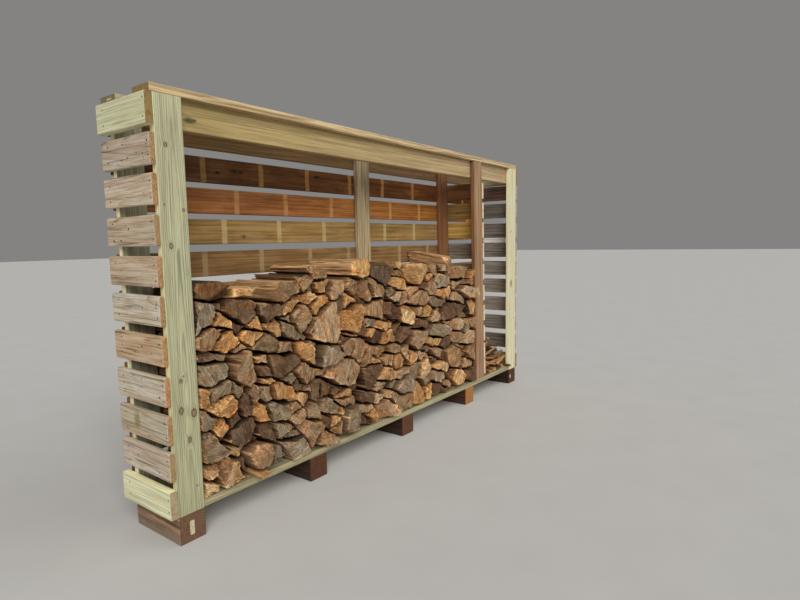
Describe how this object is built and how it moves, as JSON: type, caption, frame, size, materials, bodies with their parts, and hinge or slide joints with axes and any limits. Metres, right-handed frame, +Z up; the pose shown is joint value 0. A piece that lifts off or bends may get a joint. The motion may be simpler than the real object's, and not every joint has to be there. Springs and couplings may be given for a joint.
{
  "type": "log store",
  "caption": "Long, shallow open-fronted log store of treated timber on sleepers, slatted ends, back and partition, stacked with split firewood.",
  "frame": {"origin": "centre of the footprint, on the ground under the sleepers", "axes": "+X along the store from the end with the wide bay to the end with the narrow bay, +Y from the open front to the slatted back, +Z up"},
  "size_m": [3.7342, 0.4918, 2.1121],
  "materials": {
    "beam_wood": "new tan treated timber, matt",
    "brown_deck_wood": "old stained decking with pale joist marks, matt",
    "brown_post_wood": "old stained timber, reddish brown, matt",
    "firewood": "split logs, fresh and weathered faces, bark",
    "floor_wood": "new green-yellow treated planks, matt",
    "grey_deck_wood": "weathered grey decking, matt",
    "new_post_wood": "new green-yellow treated timber, matt",
    "partition_deck_wood": "old decking, golden brown to grey, matt",
    "sleeper_wood": "brown treated sawn timber, matt",
    "weathered_post_wood": "weathered grey-green treated timber, matt",
    "white_strip": "white paint, satin"
  },
  "bodies": {
    "root": {"back_slats": "brown_deck_wood", "end_rail_far_bottom": "new_post_wood", "end_rail_far_top": "new_post_wood", "end_rail_near_bottom": "new_post_wood", "end_rail_near_top": "new_post_wood", "far_end_gap_strip": "white_strip", "far_end_slats": "grey_deck_wood", "firewood_stack_1": "firewood", "firewood_stack_2": "firewood", "firewood_stack_3": "firewood", "firewood_stack_4": "firewood", "firewood_stack_5": "firewood", "firewood_stack_6": "firewood", "firewood_stack_7": "firewood", "firewood_stack_8": "firewood", "floor_board_front": "floor_wood", "floor_board_middle": "floor_wood", "floor_board_rear": "floor_wood", "header_back": "beam_wood", "header_front": "beam_wood", "kindling_heap": "firewood", "near_end_slats": "grey_deck_wood", "partition_slats": "partition_deck_wood", "post_back_far": "new_post_wood", "post_back_middle": "weathered_post_wood", "post_back_near": "new_post_wood", "post_back_partition": "brown_post_wood", "post_front_far": "new_post_wood", "post_front_near": "new_post_wood", "post_front_partition": "brown_post_wood", "sleeper_1": "sleeper_wood", "sleeper_2": "sleeper_wood", "sleeper_3": "sleeper_wood", "sleeper_4": "sleeper_wood", "sleeper_5": "sleeper_wood", "top_plate_back": "beam_wood", "top_plate_front": "beam_wood"}
  },
  "joints": []
}
